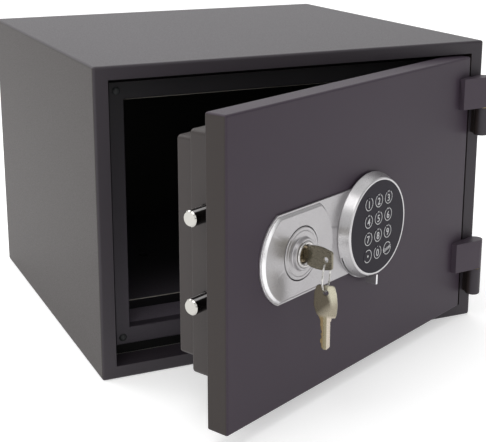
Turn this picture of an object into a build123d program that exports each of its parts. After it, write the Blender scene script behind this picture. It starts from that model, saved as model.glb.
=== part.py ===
from build123d import *
import os
from math import cos, sin, radians, sqrt, pi

# Free-standing fire-resistant safe with a key lock and an electronic keypad.
# The model is drawn with the door closed, in a drawing frame whose corner is the
# cabinet's front bottom left: X to the right, Y to the back, Z up.  At the end the
# door group is turned open about the hinge axis, and everything is moved so that
# the origin is the middle of the cabinet's base.  Millimetres.

os.makedirs("parts", exist_ok=True)

# ------------------------------------------------------------------ driving sizes
W, D, H = 425.0, 400.0, 306.0        # outer cabinet
SKIN = 2.0                           # sheet thickness of cabinet and door
RIM_S, RIM_T = 14.3, 13.0            # visible front rim: sides, top and bottom
RETURN = 28.0                        # depth of the rim's folded return
OPEN = 26.0                          # how far the door stands open, degrees

# rectangles seen from the front: x0, z0, x1, z1
A = (RIM_S, RIM_T, W - RIM_S, H - RIM_T)      # door recess inside the rim
B = (22.6, 23.5, W - 22.6, 286.5)             # raised jamb face, outer edge
C = (37.0, 41.0, W - 37.0, 270.0)             # jamb opening
L = (47.0, 51.0, W - 47.0, 260.0)             # store opening in the liner
JAMB_Y, JAMB_BACK = 25.0, 36.5                # jamb face and its back edge
RISER_Y = 70.0                                # step between front chamber and store
STORE_Y = 352.0                               # back of the store

AX, AY = 420.5, -9.5                 # hinge axis
KN_R = 8.0                           # hinge barrel radius
LEAF = ((59.5, 91.5), (238.0, 270.0))          # heights of the two hinge leaves
FIXED = ((29.0, 58.7), (207.5, 237.2))         # heights of the fixed barrels

GAP = 2.1                            # gap round the door slab
SX0, SX1 = A[0] + GAP, A[2] - GAP    # slab sides
SZ0, SZ1 = 15.0, 291.0               # slab bottom and top
SLAB = 22.0                          # slab thickness
P1 = (43.9, 46.0, 384.5, 267.0)      # first inner step (bolt box)
P1_Y = 64.0
P2 = (53.4, 56.0, 375.0, 257.0)      # second inner step (inner cover)
P2_Y = 87.6

LX, LZ = SX0 + 95.4, 154.2           # key lock axis
KX, KZ = SX0 + 203.6, 154.2          # keypad and lever axis
PLX = SX0 + 87.4                     # middle of the lock plate's round left end
BOLT_Y, BOLT_R = 44.5, 7.25          # locking bolts
BOLT_Z = (119.0, 197.0)
BOLT_TIP, BOLT_TAIL, TRAVEL = 21.5, 60.0, 22.0
CRANK = 22.0                         # crank pin radius: 60 degrees throw the bolts 22 mm
HEAD_R = 46.9                        # keypad head, front rim
ROWS = (25.2, 8.4, -8.4, -25.2)      # key rows above the keypad axis
COLS = (-16.4, 0.0, 16.4)


# ------------------------------------------------------------------ helpers
def box(x0, y0, z0, x1, y1, z1):
    return Pos((x0 + x1) / 2, (y0 + y1) / 2, (z0 + z1) / 2) * Box(x1 - x0, y1 - y0, z1 - z0)


def slab(r, y0, y1):
    """Rectangle r (x0, z0, x1, z1) between two depths."""
    return box(r[0], y0, r[1], r[2], y1, r[3])


def grow(r, d):
    return (r[0] - d, r[1] - d, r[2] + d, r[3] + d)


def ycyl(x, z, r, y0, y1):
    return Pos(x, (y0 + y1) / 2, z) * Rot(90, 0, 0) * Cylinder(r, y1 - y0)


def xcyl(y, z, r, x0, x1):
    return Pos((x0 + x1) / 2, y, z) * Rot(0, 90, 0) * Cylinder(r, x1 - x0)


def zcyl(x, y, r, z0, z1):
    return Pos(x, y, (z0 + z1) / 2) * Cylinder(r, z1 - z0)


def turned(x, z, pts):
    """Solid of revolution about the door-normal axis at x, z.  pts: (radius, depth y)."""
    prof = make_face(Polyline(*[(r, y, 0) for r, y in pts], close=True))
    return Pos(x, 0, z) * revolve(prof, axis=Axis.Y)


def sheet(points, y0, y1):
    """Outline in x, z extruded between two depths."""
    f = make_face(Polyline(*[(px, 0, pz) for px, pz in points], close=True))
    return Pos(0, y0, 0) * extrude(f, amount=y1 - y0, dir=(0, 1, 0))


def ring4(o, i, y0, y1):
    """Rectangular ring between outlines o and i, as four plates that meet face to face."""
    return [box(o[0], y0, o[1], o[2], y1, i[1]), box(o[0], y0, i[3], o[2], y1, o[3]),
            box(o[0], y0, i[1], i[0], y1, i[3]), box(i[2], y0, i[1], o[2], y1, i[3])]


def welded(shapes):
    """Plates that meet face to face, kept as separate solids of one piece."""
    return Compound([s for shape in shapes for s in shape.solids()])


def trimmed_disc(x, z, r, half, y0, y1):
    return ycyl(x, z, r, y0, y1) & box(x - r - 1, y0 - 1, z - half, x + r + 1, y1 + 1, z + half)


cab, door, moving = {}, {}, {}

# ------------------------------------------------------------------ cabinet
outer = box(0, 0, 0, W, D, H)
outer = fillet(outer.edges(), 2.6)
anchor = [(W / 2 - 100, D / 2), (W / 2 + 100, D / 2)]
shell = outer - box(SKIN, SKIN, SKIN, W - SKIN, D + 1, H - SKIN) - slab(A, -1, 5)
for x, y in anchor:
    shell -= zcyl(x, y, 6.0, -1, 5)
cab["cabinet_shell"] = welded([shell] + ring4(grow(A, SKIN), A, SKIN, RETURN))
cab["back_panel"] = box(SKIN, D - 3, SKIN, W - SKIN, D - 1, H - SKIN)

bump = [(29.5, 31.0), (29.5, 278.0), (W - 29.5, 31.0), (W - 29.5, 278.0)]
face = ring4(B, C, JAMB_Y, JAMB_Y + 1.5)
for x, z in bump:
    i = 0 if z < H / 2 else 1
    face[i] = face[i] - ycyl(x, z, 2.0, 20, 30)
wall = ring4(B, grow(B, -1.5), JAMB_Y + 1.5, 35.5)
flange = ring4(A, B, 34.0, 35.5)
inner = ring4(grow(C, 1.5), C, JAMB_Y + 1.5, JAMB_BACK)
cab["jamb_frame"] = welded(face + wall + flange + inner)

buffers = None
for x, z in bump:
    b = turned(x, z, [(0, 22.6), (1.6, 22.8), (3.0, 23.5), (4.0, JAMB_Y), (1.9, JAMB_Y), (1.9, 26.5), (2.8, 26.5), (2.2, 29.5), (0, 29.5)])
    buffers = b if buffers is None else buffers + b
cab["jamb_buffers"] = buffers
cab["fire_seal"] = slab(grow(A, -0.2), 28.2, 33.9) - slab(grow(B, 0.2), 20, 40)

# store liner: front chamber, riser and store, welded from flat sheets
TL = 1.2
CHAN = (15.0, 104.0, 212.0)            # strike channel: outer x, z range
CT = grow(C, TL)
cb, ct, cl, cr = ring4(CT, C, JAMB_BACK, RISER_Y)
z0, z1 = CHAN[1] + 1.5, CHAN[2] - 1.5
cl = [box(CT[0], JAMB_BACK, C[1], C[0], RISER_Y, z0), box(CT[0], 54.5, z0, C[0], RISER_Y, z1), box(CT[0], JAMB_BACK, z1, C[0], RISER_Y, C[3])]
lb, lt, ll, lr = ring4(grow(L, TL), L, RISER_Y + TL, STORE_Y)
for x, y in anchor:
    lb = lb - zcyl(x, y, 6.0, 40, 60)
cab["store_liner"] = welded([cb, ct, cr] + cl + ring4(CT, L, RISER_Y, RISER_Y + TL) + [lb, lt, ll, lr, slab(grow(L, TL), STORE_Y, STORE_Y + TL)])

chan = box(CHAN[0], JAMB_BACK, CHAN[1], C[0] - TL, 56.0, CHAN[2])
chan -= box(CHAN[0] + 1.5, JAMB_BACK - 1, CHAN[1] + 1.5, C[0] + 1, 54.5, CHAN[2] - 1.5)
cab["strike_channel"] = chan

sleeves = None
for x, y in anchor:
    s = zcyl(x, y, 8.0, SKIN, L[1] - TL) - zcyl(x, y, 6.0, 0, 60)
    sleeves = s if sleeves is None else sleeves + s
cab["anchor_sleeves"] = sleeves

fill = box(SKIN, SKIN, SKIN, W - SKIN, D - 3, H - SKIN)
fill -= slab(grow(A, SKIN), 0, RETURN)
fill -= slab(A, 0, 35.5)
fill += slab(grow(B, -1.5), JAMB_Y + 1.5, 36) - slab(grow(C, 1.5), 0, 40)
fill -= slab(grow(C, 1.5), 0, JAMB_BACK)
fill -= slab(grow(C, TL), JAMB_BACK, RISER_Y + TL)
fill -= slab(grow(L, TL), RISER_Y, STORE_Y + TL)
fill -= box(CHAN[0], JAMB_BACK, CHAN[1], C[0], 56.0, CHAN[2])
for x, z in bump:
    fill -= ycyl(x, z, 3.0, 20, 31)
for x, y in anchor:
    fill -= zcyl(x, y, 8.0, 0, 60)
cab["cabinet_infill"] = fill

fixed = pins = washers = None
for (f0, f1), (l0, l1) in zip(FIXED, LEAF):
    k = zcyl(AX, AY, KN_R, f0, f1)
    k = fillet(k.edges().filter_by(GeomType.CIRCLE).group_by(Axis.Z)[0], 1.6)
    k += box(AX - 6.5, AY + 2.0, f0 + 1.5, W - 0.6, 0.0, f1 - 1.5)
    k -= zcyl(AX, AY, 4.5, f0 + 4, f1 + 5)
    p = zcyl(AX, AY, 4.5, f0 + 4, f1) + zcyl(AX, AY, 4.44, f1, l1 - 6)
    p = chamfer(p.edges().filter_by(GeomType.CIRCLE).group_by(Axis.Z)[-1], 1.0)
    w = zcyl(AX, AY, 7.2, f1, l0 - 0.05) - zcyl(AX, AY, 4.6, 0, H)
    fixed = k if fixed is None else fixed + k
    pins = p if pins is None else pins + p
    washers = w if washers is None else washers + w
cab["hinge_fixed_barrels"] = fixed
cab["hinge_pins"] = pins
cab["hinge_washers"] = washers

# ------------------------------------------------------------------ door
skin = box(SX0, 0, SZ0, SX1, SLAB, SZ1)
skin = fillet(skin.edges().filter_by(Axis.Y), 2.4)
skin = fillet(skin.edges().group_by(Axis.Y)[0], 2.2)
skin = fillet(skin.edges().group_by(Axis.Y)[-1], 1.2)
skin -= box(SX0 + SKIN, SKIN, SZ0 + SKIN, SX1 - SKIN, SLAB + 1, SZ1 - SKIN)
skin -= ycyl(LX, LZ, 12.2, -1, 5)
skin -= ycyl(KX, KZ, 7.0, -1, 5)
door["door_skin"] = skin

dfill = box(SX0 + SKIN, SKIN, SZ0 + SKIN, SX1 - SKIN, SLAB - 2, SZ1 - SKIN)
dfill -= ycyl(LX, LZ, 12.2, 0, 30)
dfill -= ycyl(KX, KZ, 7.0, 0, 30)
door["door_infill"] = dfill

bplate = box(SX0 + SKIN, SLAB - 2, SZ0 + SKIN, SX1 - SKIN, SLAB, SZ1 - SKIN)
bplate -= ycyl(LX, LZ, 12.2, 0, 30)
bplate -= ycyl(KX, KZ, 7.0, 0, 30)
door["door_back_plate"] = bplate

bbox = slab(P1, SLAB, P1_Y)
bbox = fillet(bbox.edges().filter_by(Axis.Y), 4.0)
bbox = fillet(bbox.edges().group_by(Axis.Y)[-1], 2.4)
bbox -= slab(grow(P1, -2.0), SLAB - 1, P1_Y - 2)
bbox -= slab(grow(P2, -10.0), P1_Y - 5, P1_Y + 1)
for z in BOLT_Z:
    bbox -= xcyl(BOLT_Y, z, 8.3, P1[0] - 1, P1[0] + 3)
CS = [(P2[0] + 12, P2[1] + 12), (P2[2] - 12, P2[1] + 12), (P2[0] + 12, P2[3] - 12), (P2[2] - 12, P2[3] - 12)]
for x, z in CS:
    bbox += ycyl(x, z, 5.0, P1_Y - 5, P1_Y)
for x, z in CS:
    bbox -= ycyl(x, z, 2.0, 50, 70)
door["bolt_box"] = bbox

BAT = (262.0, 124.0, 326.0, 182.0)
cover = slab(P2, P1_Y, P2_Y)
cover = fillet(cover.edges().filter_by(Axis.Y), 3.5)
cover = fillet(cover.edges().group_by(Axis.Y)[-1], 2.2)
cover -= slab(grow(P2, -1.5), P1_Y - 1, P2_Y - 1.5)
for x, z in CS:
    cover -= ycyl(x, z, 2.2, 50, 90)
cover -= slab(grow(BAT, -3), P2_Y - 5, P2_Y + 1)
door["inner_cover"] = cover

board = slab(grow(P2, -1.5), P1_Y, P2_Y - 1.5)
board -= slab(grow(BAT, 0.0), P1_Y + 2, P2_Y)
for x, z in CS:
    board -= ycyl(x, z, 2.6, 50, 90)
door["inner_cover_board"] = board

screws = None
for x, z in CS:
    s = turned(x, z, [(0, P2_Y + 2.0), (2.4, P2_Y + 1.8), (4.0, P2_Y), (2.0, P2_Y), (2.0, P1_Y - 5.0), (0, P1_Y - 5.0)])
    s -= box(x - 2.8, P2_Y + 0.9, z - 0.5, x + 2.8, P2_Y + 3, z + 0.5)
    s -= box(x - 0.5, P2_Y + 0.9, z - 2.8, x + 0.5, P2_Y + 3, z + 2.8)
    screws = s if screws is None else screws + s
door["cover_screws"] = screws

tray = slab(BAT, P1_Y + 2, P2_Y - 1.5) - slab(grow(BAT, -1.5), P1_Y + 4, P2_Y)
door["battery_tray"] = tray
cells = None
for i in range(4):
    x = BAT[0] + 2.2 + 7.25 + i * 14.95
    c = zcyl(x, P1_Y + 4 + 7.5, 7.1, BAT[1] + 3.5, BAT[1] + 52.5) + zcyl(x, P1_Y + 4 + 7.5, 2.7, BAT[1] + 52.5, BAT[1] + 53.8)
    cells = c if cells is None else cells + c
door["battery_cells"] = cells
bc = slab(grow(BAT, -3.2), P2_Y - 1.5, P2_Y)
bc += slab((BAT[0] + 28, BAT[1] + 1.6, BAT[2] - 28, BAT[1] + 8), P2_Y - 3.0, P2_Y - 1.5)
bc -= slab((BAT[0] + 26, BAT[3] - 12, BAT[2] - 26, BAT[3] - 9), P2_Y - 0.8, P2_Y + 1)
door["battery_cover"] = bc

# hinge leaves: tapering castings with a blind barrel for the pin
leaves = None
for l0, l1 in LEAF:
    lx = SX0 + 371.0
    prof = make_face(Polyline((lx, 0, 0), (lx, -6.0, 0), (AX - 2.0, AY - 7.75, 0), (AX - 2.0, 0, 0), close=True))
    f = Pos(0, 0, l0) * extrude(prof, amount=l1 - l0, dir=(0, 0, 1))
    f -= box(SX1, -2.0, l0 - 1, AX + 10, 5, l1 + 1)          # clear of the cabinet rim
    f += zcyl(AX, AY, KN_R, l0, l1)
    f -= zcyl(AX, AY, 4.5, l0 - 1, l1 - 5)
    leaves = f if leaves is None else leaves + f
door["hinge_leaves"] = leaves

# lock plate: thin base with two round ends, and a chamfered raised pad round the lock
R1, R2 = 46.0, 50.5
base = trimmed_disc(PLX, LZ, R1, 40.5, -2.0, 0.0) + trimmed_disc(KX, KZ, R2, 40.5, -2.0, 0.0)
base += box(PLX, -2.0, LZ - 40.5, KX, 0.0, LZ + 40.5)
pad = trimmed_disc(PLX, LZ, 44.4, 38.8, -4.6, -2.0) & box(0, -6, 0, PLX, 1, H)
pad += trimmed_disc(LX, LZ, 48.6, 38.8, -4.6, -2.0) & box(LX, -6, 0, W, 1, H)
pad += box(PLX, -4.6, LZ - 38.8, LX, -2.0, LZ + 38.8)
pad = chamfer(pad.edges().group_by(Axis.Y)[0], 2.2)
plate = base + pad
plate -= ycyl(LX, LZ, 24.7, -6, 1)
plate -= ycyl(KX, KZ, 7.0, -6, 1)
door["lock_plate"] = plate

# rosette, cylinder and nut
door["lock_rosette"] = turned(LX, LZ, [(12.3, 0.0), (24.2, 0.0), (24.2, -4.4), (23.2, -5.2), (17.0, -5.6), (15.4, -6.4), (14.6, -8.6), (13.6, -9.4), (12.3, -9.4)])
cylinder = turned(LX, LZ, [(8.06, -10.6), (10.4, -10.6), (12.0, -9.6), (12.0, 40.0), (8.06, 40.0)])
door["lock_cylinder"] = cylinder
hexn = Pos(LX, SLAB + 3.0, LZ) * Rot(90, 0, 0) * extrude(RegularPolygon(17.0, 6), amount=3.0, both=True)
door["cylinder_nut"] = hexn - ycyl(LX, LZ, 12.05, 0, 60)

door["spindle_bush"] = turned(KX, KZ, [(5.06, -2.0), (7.0, -2.0), (7.0, 22.0), (10.0, 22.0), (10.0, 26.0), (5.06, 26.0)])

# keypad head: low cone, turned, with a slot in its skirt for the lever
HY = -13.0
house = turned(KX, KZ, [(48.6, -2.0), (51.0, -2.0), (50.9, -3.0), (HEAD_R + 0.3, -11.0), (HEAD_R - 0.1, -12.2), (HEAD_R - 0.9, HY), (44.5, HY), (44.5, -11.0), (42.9, -11.0), (42.9, -6.6), (46.0, -6.6), (48.6, -3.0)])
slot = None
for a in range(2, 63, 4):
    t = radians(a)
    c = Pos(KX - 48 * sin(t), -4.1, KZ - 48 * cos(t)) * Rot(0, a, 0) * Box(4.6, 4.4, 12)
    slot = c if slot is None else slot + c
house -= slot
door["keypad_housing"] = house

panel = ycyl(KX, KZ, 44.4, -12.9, -11.1)
board_pcb = ycyl(KX, KZ, 42.6, -7.7, -6.7)
names = [["key_1", "key_2", "key_3"], ["key_4", "key_5", "key_6"], ["key_7", "key_8", "key_9"], ["key_star", "key_0", "key_enter"]]
for r, row in enumerate(names):
    for c, nm in enumerate(row):
        x, z = KX + COLS[c], KZ + ROWS[r]
        panel -= ycyl(x, z, 7.15, -20, -10)
        moving[nm] = turned(x, z, [(0, -13.15), (6.6, -13.15), (7.0, -12.8), (7.0, -10.8), (7.6, -10.8), (7.6, -9.9), (0, -9.9)])
door["keypad_face"] = panel
for r in ROWS:                                              # a snap dome under each key
    for c in COLS:
        board_pcb += turned(KX + c, KZ + r, [(0, -8.9), (1.8, -8.7), (3.2, -7.7), (3.2, -7.3), (0, -7.3)])
door["keypad_board"] = board_pcb

# lever: disc inside the keypad head, with a fin through the slot, on a spindle
lever = ycyl(KX, KZ, 43.6, -5.6, -2.6)
fin = box(KX - 1.3, -5.6, KZ - 52.4, KX + 1.3, -2.6, KZ - 40) + box(KX - 1.3, -14.6, KZ - 56.6, KX + 1.3, -2.6, KZ - 52.2)
fin = Pos(KX, 0, KZ) * Rot(0, 2, 0) * Pos(-KX, 0, -KZ) * fin
lever += fin
lever -= ycyl(KX, KZ, 5.0, -9, 0)
moving["lever_disc"] = lever
moving["lever_spindle"] = ycyl(KX, KZ, 5.0, -5.6, 41.0) + ycyl(KX, KZ, 3.6, 41.0, 46.0)
t0 = radians(30.0)
px, pz = KX - CRANK * sin(t0), KZ + CRANK * cos(t0)
crank = ycyl(KX, KZ, 10.0, 41.0, 46.0) + ycyl(px, pz, 6.0, 41.0, 46.0)
ang = 30.0
crank += Pos(KX, 43.5, KZ) * Rot(0, -ang, 0) * Pos(0, 0, CRANK / 2) * Box(12, 5, CRANK)
crank -= ycyl(KX, KZ, 3.6, 40, 47)
crank += ycyl(px, pz, 3.0, 45.0, 52.0)
moving["crank_arm"] = crank

# bolt work
arm = box(BOLT_TAIL, 47.0, 158.0, 236.0, 51.0, 190.0)
bar = box(BOLT_TAIL, 38.0, 108.0, BOLT_TAIL + 8, 51.0, 208.0)
carrier = bar + arm
for z in BOLT_Z:
    carrier -= xcyl(BOLT_Y, z, 3.0, 50, 80)
carrier -= slab((px - 3.4, KZ + 15.0, px + 3.4, KZ + 26.6), 40, 60)         # crank slot
GP = [(137.0, 175.0), (185.0, 175.0)]
for x, z in GP:
    carrier -= slab((x - TRAVEL, z - 3.3, x, z + 3.3), 40, 60) + ycyl(x, z, 3.3, 40, 60) + ycyl(x - TRAVEL, z, 3.3, 40, 60)
for x in (LX - 5.0, LX - 5.0 - TRAVEL):                                     # notches for the locking bar
    carrier -= slab((x - 7.6, 150, x + 7.6, 167.5), 45, 55)
SOL = 175.0
for x in (SOL, SOL - TRAVEL):                                               # notches for the solenoid plunger
    carrier -= slab((x - 3.6, 183.0, x + 3.6, 195), 45, 55)
moving["bolt_carrier"] = carrier
bolts = bscrews = bushes = None
for z in BOLT_Z:
    b = xcyl(BOLT_Y, z, BOLT_R, BOLT_TIP, BOLT_TAIL)
    b = chamfer(b.edges().filter_by(GeomType.CIRCLE).group_by(Axis.X)[0], 0.8)
    b -= xcyl(BOLT_Y, z, 3.0, BOLT_TAIL - 14, BOLT_TAIL + 1)
    s = xcyl(BOLT_Y, z, 3.0, BOLT_TAIL - 14, BOLT_TAIL + 8) + xcyl(BOLT_Y, z, 5.0, BOLT_TAIL + 8, BOLT_TAIL + 10)
    s -= Pos(BOLT_TAIL + 8.8, BOLT_Y, z) * Rot(0, 90, 0) * extrude(RegularPolygon(2.6, 6), amount=3)
    g = xcyl(BOLT_Y, z, 10.0, P1[0] + 2, P1[0] + 14) - xcyl(BOLT_Y, z, BOLT_R + 0.08, 0, 100)
    bolts = b if bolts is None else bolts + b
    bscrews = s if bscrews is None else bscrews + s
    bushes = g if bushes is None else bushes + g
moving["locking_bolts"] = bolts
moving["bolt_screws"] = bscrews
door["bolt_bushes"] = bushes
guides = None
for x, z in GP:
    g = ycyl(x, z, 5.0, SLAB, 46.6) + ycyl(x, z, 3.0, 46.6, 51.4) + ycyl(x, z, 5.0, 51.4, 53.4)
    guides = g if guides is None else guides + g
door["carrier_guides"] = guides

# key lock: plug, cam pin and locking bar
plug = ycyl(LX, LZ, 8.0, -10.2, 40.3)
plug = chamfer(plug.edges().filter_by(GeomType.CIRCLE).group_by(Axis.Y)[0], 0.6)
plug -= box(LX - 1.35, -12, LZ - 4.7, LX + 1.35, 23.5, LZ + 4.7)      # keyway
plug -= box(LX - 1.6, -12, LZ - 5.8, LX + 1.6, -6.6, LZ + 5.8)        # wider mouth for the key's neck
moving["lock_plug"] = plug
t1 = radians(45.0)
cx, cz = LX - 6.0 * cos(t1), LZ - 6.0 * sin(t1)
moving["lock_cam"] = ycyl(LX, LZ, 9.0, 40.3, 44.0) + ycyl(cx, cz, 2.0, 43.0, 49.2)
lbar = box(LX - 12.0, 45.0, 118.0, LX + 2.0, 48.6, 157.0)
lbar = chamfer(lbar.edges().filter_by(Axis.Y).group_by(Axis.Z)[-1], 1.2)
lbar -= slab((LX - 6.0 - 2.6, cz - 2.35, cx + 2.6, cz + 2.35), 40, 60)
moving["locking_bar"] = lbar
bg = box(LX - 15.6, SLAB, 121.0, LX + 5.6, 51.0, 133.0) - box(LX - 12.3, 44.7, 110, LX + 2.3, 48.9, 140) - box(LX - 12.3, SLAB + 3, 110, LX + 2.3, 42.5, 140)
door["bar_guide"] = bg

# electronic lock: case with a plunger that drops into the carrier
case = box(152.0, SLAB, 196.0, 198.0, 55.0, 234.0)
case = fillet(case.edges().filter_by(Axis.Y), 2.0)
case -= zcyl(SOL, 49.0, 3.06, 190, 220)
door["solenoid_case"] = case
moving["solenoid_plunger"] = zcyl(SOL, 49.0, 3.0, 191.2, 212.0)

# ------------------------------------------------------------------ keys and ring

def key_outline(hole_r=2.5):
    """Key with its bow hole at 0, 0 and its blade pointing to -v.  u across, v along."""
    pts = [(-4.4, 6.6), (4.4, 6.6), (8.0, 5.2), (10.6, -6.0), (10.2, -14.5), (8.4, -19.6), (5.6, -20.2), (5.2, -23.4), (4.3, -24.0),
           (4.3, -31), (3.4, -32), (4.3, -33.5), (2.9, -35.5), (2.9, -37), (4.1, -38.5), (3.2, -40), (3.2, -42), (4.2, -43.5), (4.2, -46), (3.3, -47.5), (3.3, -50), (1.6, -52.8),
           (-1.6, -52.8), (-4.3, -50.0), (-4.3, -24.0), (-5.2, -23.4), (-5.6, -20.2), (-8.4, -19.6), (-10.2, -14.5), (-10.6, -6.0), (-8.0, 5.2)]
    f = make_face(Polyline(*[(u, v, 0) for u, v in pts], close=True))
    k = extrude(f, amount=1.05, both=True)
    k -= Pos(0, 0, 0) * Cylinder(hole_r, 6)
    k -= Pos(-1.4, -38, 1.05) * Box(1.2, 26, 0.9)          # milled groove
    k -= Pos(1.4, -38, -1.05) * Box(1.2, 26, 0.9)
    return k


HOLE_Y = -31.0
key = Plane(origin=(LX, HOLE_Y, LZ), x_dir=(0, 0, 1), z_dir=(1, 0, 0)) * key_outline()
moving["key"] = key

RING_R, WIRE = 13.4, 0.8
ring_top = (LX, HOLE_Y, LZ - 1.5)                # wire centre at the top of the ring
ring_turn = 21.0                                           # the ring's plane is turned from the key's hole axis
rc = (ring_top[0], ring_top[1], ring_top[2] - RING_R)
ring = Pos(*rc) * Rot(0, 0, ring_turn) * Rot(90, 0, 0) * Torus(RING_R, WIRE)
moving["key_ring"] = ring
rb = (rc[0], rc[1], rc[2] - RING_R)
hx, hy = cos(radians(ring_turn)), sin(radians(ring_turn))
spare = Plane(origin=(rb[0], rb[1], rb[2] - 1.5), x_dir=(-hy, hx, 0), z_dir=(hx, hy, 0)) * key_outline()
moving["spare_key"] = spare

# ------------------------------------------------------------------ placing
to_origin = Pos(-W / 2, -D / 2, 0)
swing = Pos(AX, AY, 0) * Rot(0, 0, OPEN) * Pos(-AX, -AY, 0)
nodes = {}
for n, s in cab.items():
    nodes[n] = to_origin * s
for n, s in {**door, **moving}.items():
    nodes[n] = to_origin * swing * s

for n, s in nodes.items():
    s.label = n
    export_step(s, f"parts/{n}.step")
print(len(nodes), "nodes written")
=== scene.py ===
import bpy, bmesh, math
from math import sin, cos, pi, radians
from mathutils import Vector, Matrix


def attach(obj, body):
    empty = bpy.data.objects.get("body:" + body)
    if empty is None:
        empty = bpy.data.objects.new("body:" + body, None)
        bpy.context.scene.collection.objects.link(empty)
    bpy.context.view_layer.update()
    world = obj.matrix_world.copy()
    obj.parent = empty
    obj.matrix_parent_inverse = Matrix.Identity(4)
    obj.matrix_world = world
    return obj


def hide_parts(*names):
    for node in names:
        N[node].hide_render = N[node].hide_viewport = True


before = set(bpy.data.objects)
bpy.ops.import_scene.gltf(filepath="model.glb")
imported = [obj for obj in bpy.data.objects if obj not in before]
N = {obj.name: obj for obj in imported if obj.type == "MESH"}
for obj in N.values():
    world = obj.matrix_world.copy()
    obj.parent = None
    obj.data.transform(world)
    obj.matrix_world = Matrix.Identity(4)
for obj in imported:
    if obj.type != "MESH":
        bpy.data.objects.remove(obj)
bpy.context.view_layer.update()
scene = bpy.context.scene

# ------------------------------------------------------------------ shared sizes, millimetres
# Drawing frame: door closed, corner at the cabinet's front bottom left.
MM = 0.001
W, D, H = 425.0, 400.0, 306.0
AX, AY, OPEN = 420.5, -9.5, 26.0
LX, LZ = 111.8, 154.2                 # key lock
KX, KZ = 220.0, 154.2                 # keypad and lever
ROWS = (25.2, 8.4, -8.4, -25.2)
COLS = (-16.4, 0.0, 16.4)


def T(x, y, z):
    return Matrix.Translation((x * MM, y * MM, z * MM))


CAB = T(-W / 2, -D / 2, 0)
DOOR = CAB @ T(AX, AY, 0) @ Matrix.Rotation(radians(OPEN), 4, "Z") @ T(-AX, -AY, 0)
FACE = Matrix(((1, 0, 0, 0), (0, 0, -1, 0), (0, 1, 0, 0), (0, 0, 0, 1)))      # local Z points out of the door, local Y up
FACE_DOOR = lambda x, z, y=0.0: DOOR @ T(x, y, z) @ FACE


# ------------------------------------------------------------------ materials
def new_mat(name):
    m = bpy.data.materials.new(name)
    m.use_nodes = True
    nt = m.node_tree
    return m, nt, nt.nodes["Principled BSDF"]


def coords(nt):
    return nt.nodes.new("ShaderNodeTexCoord").outputs["Object"]


def noise(nt, vec, scale, detail=2.0, rough=0.5, stretch=None):
    if stretch is not None:
        mp = nt.nodes.new("ShaderNodeMapping")
        mp.inputs["Scale"].default_value = stretch
        nt.links.new(vec, mp.inputs["Vector"])
        vec = mp.outputs["Vector"]
    n = nt.nodes.new("ShaderNodeTexNoise")
    n.inputs["Scale"].default_value = scale
    n.inputs["Detail"].default_value = detail
    n.inputs["Roughness"].default_value = rough
    nt.links.new(vec, n.inputs["Vector"])
    return n.outputs["Fac"]


def ramp(nt, fac, stops):
    r = nt.nodes.new("ShaderNodeValToRGB")
    e = r.color_ramp.elements
    while len(e) < len(stops):
        e.new(0.5)
    for el, (p, c) in zip(e, stops):
        el.position = p
        el.color = c if isinstance(c, tuple) and len(c) == 4 else (*c, 1) if isinstance(c, tuple) else (c, c, c, 1)
    nt.links.new(fac, r.inputs["Fac"])
    return r.outputs["Color"]


def maprange(nt, val, lo, hi, flo=0.3, fhi=0.7):
    m = nt.nodes.new("ShaderNodeMapRange")
    m.inputs["From Min"].default_value = flo
    m.inputs["From Max"].default_value = fhi
    m.inputs["To Min"].default_value = lo
    m.inputs["To Max"].default_value = hi
    nt.links.new(val, m.inputs["Value"])
    return m.outputs["Result"]


def mixcol(nt, fac, a, b):
    m = nt.nodes.new("ShaderNodeMix")
    m.data_type = "RGBA"
    for sock, v in ((m.inputs[0], fac), (m.inputs[6], a), (m.inputs[7], b)):
        if isinstance(v, (int, float)):
            sock.default_value = v
        elif isinstance(v, tuple):
            sock.default_value = (*v, 1)
        else:
            nt.links.new(v, sock)
    return m.outputs[2]


def bump(nt, bsdf, layers):
    """layers: (height socket, strength, distance)."""
    last = None
    for h, s, d in layers:
        b = nt.nodes.new("ShaderNodeBump")
        b.inputs["Strength"].default_value = s
        b.inputs["Distance"].default_value = d
        nt.links.new(h, b.inputs["Height"])
        if last is not None:
            nt.links.new(last, b.inputs["Normal"])
        last = b.outputs["Normal"]
    nt.links.new(last, bsdf.inputs["Normal"])


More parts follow.
